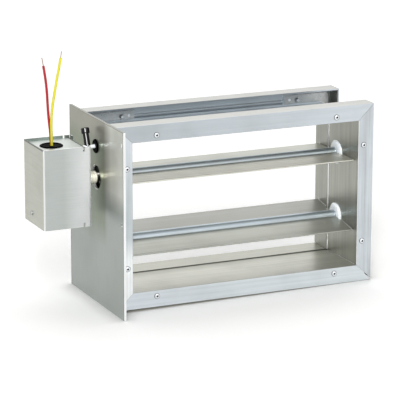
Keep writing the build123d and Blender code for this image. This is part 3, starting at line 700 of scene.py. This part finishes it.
class DAMPER_OT_actuator(bpy.types.Operator):
    """Finish the actuator box, its screws, gearbox, motor and hub"""

    bl_idname = "damper.actuator"
    bl_label = "Actuator"

    def execute(self, context):
        metal = context.scene.damper_metal
        # The wrap is brushed along its length; painted light and shade make it warmer on its end wall, paler
        # towards the plate and duller inside, with a painted highlight along the front of its top and a painted
        # dark line where its end wall meets the top
        low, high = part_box("actuator_cover")
        wrap = [
            ([("X", -0.05, -0.021)], "#E1E3E3", 1.0),
            (["X"], "#B4B5AB", 1.0),
            (["-Y", ("Y", 0.0, 0.01)], "#94A19C", 1.0),
            (["Z", ("Y", low.y + 2 * MM, low.y + MM)], "#FAFBFB", 1.0),
            (["Z", ("X", low.x + 2 * MM, low.x + MM)], "#4A4D4A", 1.0),
            (["X", ("Z", high.z - 1.3 * MM, high.z - 0.8 * MM)], "#5C5F5A", 1.0),
        ]
        assign(["actuator_cover"], brushed_zinc_sheet("zinc_sheet_brushed_wrap", metal.box_colour, "XY", wrap))
        # Painted light and shade on the chassis: paler on its top and on the panel towards the plate, with
        # painted dark lines along both ends of its top
        low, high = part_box("actuator_base")
        chassis = [
            (["Z", ("Z", high.z - 4 * MM, high.z - 2 * MM)], "#D3D8D4", 1.0),
            (["X"], "#DCDCD6", 1.0),
            (["Z", ("X", high.x - 3.6 * MM, high.x - 3.0 * MM)], "#5A5E5A", 1.0),
            (["Z", ("X", low.x + 1.6 * MM, low.x + 1.0 * MM)], "#4A4D4A", 1.0),
        ]
        assign(["actuator_base"], brushed_zinc_sheet("zinc_sheet_brushed_chassis", metal.box_colour, "XY",
                                                     chassis, metallic=0.6))
        assign(["cover_screws", "gearbox_screws", "drive_motor"], clear_zinc("zinc_plate_screws"))
        assign(["gearbox"], self.tumbled_casting(metal.casting_colour))
        assign(["output_hub"], self.turned_steel(linear("#EFECDD")))
        return {"FINISHED"}

    def tumbled_casting(self, colour):
        """Zinc die casting, tumbled: grey, fine-grained, with soft highlights."""
        material, tree, shader = start_material("zinc_casting_tumbled", colour, 1.0, 0.5)
        grain = pattern(tree, [1.4 * MM] * 3, detail=4.0)
        tree.links.new(spread(tree, grain, 0.42, 0.6), shader.inputs["Roughness"])
        tint(tree, shader, colour, [(spread(tree, grain, 0.0, 1.0), "#7C7D7E", 0.4)])
        relief(tree, shader, [(grain, 0.08 * MM, 0.35)])
        return material

    def turned_steel(self, colour):
        """Turned steel: bright and slightly yellow, with fine tool rings across the shaft."""
        material, tree, shader = start_material("steel_turned", colour, 0.5, 0.28)
        rings = pattern(tree, [0.7 * MM, 30 * MM, 30 * MM], detail=2.0)
        tree.links.new(spread(tree, rings, 0.22, 0.38), shader.inputs["Roughness"])
        tint(tree, shader, colour, [(spread(tree, rings, 0.0, 1.0), "#C6C1AF", 0.3)])
        relief(tree, shader, [(rings, 0.01 * MM, 0.2)])
        return material


class DAMPER_OT_leads(bpy.types.Operator):
    """Build the two leads with their bare strands"""

    bl_idname = "damper.leads"
    bl_label = "Leads"

    # Millimetres, from the wire grommet to the end of the insulation
    routes = {
        "red": [
            (-51.9, 1.5, 74.1), (-51.9, 1.5, 84.0), (-53.7, 1.5, 99.0), (-55.1, 0.8, 115.0),
            (-56.0, 0.0, 131.5), (-57.6, 0.1, 147.0), (-59.6, -0.2, 158.3),
        ],
        "yellow": [
            (-52.0, -1.5, 74.1), (-52.0, -1.5, 84.0), (-52.4, -1.5, 98.0), (-50.9, -0.8, 113.0),
            (-47.7, -0.2, 129.0), (-45.1, -0.1, 143.0), (-42.2, 0.0, 155.5), (-40.3, 0.3, 165.4),
        ],
    }
    # Insulated length in metres, and bare length
    lengths = {"red": 0.0847, "yellow": 0.0924}
    tip_lengths = {"red": 9.4 * MM, "yellow": 6.8 * MM}

    def execute(self, context):
        settings = context.scene.damper_lead
        copper = self.tinned_copper(settings.copper_colour)
        colours = {"red": settings.red_colour, "yellow": settings.yellow_colour}
        for name, route in self.routes.items():
            points = [Vector(p) * MM for p in route]
            # PVC insulation, extruded: saturated colour with a soft satin skin
            skin = moulded("pvc_extruded_" + name, colours[name], 0.38, 1.5 * MM, depth=0.03)
            lead = self.make_lead(name + "_lead_wire", points, settings.diameter, skin)
            tip = self.make_tip(name + "_bare_strands", points, self.tip_lengths[name], settings, copper)
            for piece, node, slot in ((lead, name + "_lead", name + "_insulation"),
                                      (tip, name + "_lead_tip", "tinned_wire")):
                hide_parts(node)
                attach(piece, "frame")
        return {"FINISHED"}

    def tinned_copper(self, colour):
        """Tinned copper strands: pale, slightly pink metal with uneven tin."""
        material, tree, shader = start_material("tinned_copper_stranded", colour, 1.0, 0.34)
        tin = pattern(tree, [0.8 * MM] * 3, detail=3.0)
        tint(tree, shader, colour, [(spread(tree, tin, 0.0, 1.0), "#A5735A", 0.4)])
        relief(tree, shader, [(tin, 0.02 * MM, 0.3)])
        return material

    def make_lead(self, name, points, diameter, material):
        """Round wire on one smooth curve through its route."""
        curve = bpy.data.curves.new(name, "CURVE")
        curve.dimensions = "3D"
        spline = curve.splines.new("NURBS")
        spline.points.add(len(points) - 1)
        for point, place in zip(spline.points, points):
            point.co = (*place, 1.0)
        spline.order_u = 3
        spline.use_endpoint_u = True
        spline.resolution_u = 16
        curve.bevel_depth = diameter / 2
        curve.bevel_resolution = 6
        curve.use_fill_caps = True
        curve.materials.append(material)
        piece = bpy.data.objects.new(name, curve)
        bpy.context.scene.collection.objects.link(piece)
        return piece

    def make_tip(self, name, points, length, settings, material):
        """Twisted strands that stand out of the insulation, each cut a little differently."""
        direction = (points[-1] - points[-2]).normalized()
        side = direction.cross(Vector((0, 1, 0))).normalized()
        other = direction.cross(side)
        radius = settings.strand_diameter / 2
        ring = 2 * radius
        verts, faces = [], []
        steps, sides = 26, 10
        cuts = [1.0, 0.93, 0.98, 0.9, 0.96, 0.92, 0.99]
        for strand in range(settings.strands + 1):
            reach = length * cuts[strand % len(cuts)]
            first = len(verts)
            out = 0.0 if strand == settings.strands else ring
            for step in range(steps + 1):
                along = reach * step / steps
                turn = 2 * math.pi * (strand / settings.strands + along / settings.twist_pitch)
                twist = (side * math.cos(turn) + other * math.sin(turn)) * out
                centre = points[-1] + direction * along + twist
                for k in range(sides):
                    a = 2 * math.pi * k / sides
                    verts.append(centre + (side * math.cos(a) + other * math.sin(a)) * radius)
            for step in range(steps):
                low = first + step * sides
                for k in range(sides):
                    after = (k + 1) % sides
                    faces.append((low + k, low + after, low + sides + after, low + sides + k))
            faces.append(tuple(first + k for k in reversed(range(sides))))
            faces.append(tuple(first + steps * sides + k for k in range(sides)))
        mesh = bpy.data.meshes.new(name)
        mesh.from_pydata(verts, [], faces)
        mesh.polygons.foreach_set("use_smooth", [len(p.vertices) == 4 for p in mesh.polygons])
        mesh.materials.append(material)
        piece = bpy.data.objects.new(name, mesh)
        bpy.context.scene.collection.objects.link(piece)
        return piece


class DAMPER_PT_panel(bpy.types.Panel):
    """Sidebar panel with the settings and the steps"""

    bl_label = "Zone damper"
    bl_idname = "DAMPER_PT_panel"
    bl_space_type = "VIEW_3D"
    bl_region_type = "UI"
    bl_category = "Damper"

    def draw(self, context):
        for name in SETTINGS:
            box = self.layout.box()
            group = getattr(context.scene, name)
            for key in group.__annotations__:
                box.prop(group, key)
        for step in STEPS:
            self.layout.operator(step.bl_idname)


SETTINGS = {
    "damper_stage": DamperStageSettings,
    "damper_metal": DamperMetalSettings,
    "damper_plastic": DamperPlasticSettings,
    "damper_lead": DamperLeadSettings,
}
STEPS = [
    DAMPER_OT_stage, DAMPER_OT_frame, DAMPER_OT_corners, DAMPER_OT_plate, DAMPER_OT_bushings, DAMPER_OT_blades,
    DAMPER_OT_shafts, DAMPER_OT_linkage, DAMPER_OT_lock, DAMPER_OT_actuator, DAMPER_OT_leads,
]


def register():
    """Register the settings, the steps and the panel."""
    for kind in (*SETTINGS.values(), *STEPS, DAMPER_PT_panel):
        bpy.utils.register_class(kind)
    for name, kind in SETTINGS.items():
        setattr(bpy.types.Scene, name, PointerProperty(type=kind))


def unregister():
    """Remove them again."""
    for name in SETTINGS:
        delattr(bpy.types.Scene, name)
    for kind in (DAMPER_PT_panel, *reversed(STEPS), *SETTINGS.values()):
        bpy.utils.unregister_class(kind)


def main():
    """Register the settings, steps and panel, and run every step."""
    register()
    for step in STEPS:
        group, name = step.bl_idname.split(".")
        getattr(getattr(bpy.ops, group), name)()


if __name__ == "__main__":
    main()
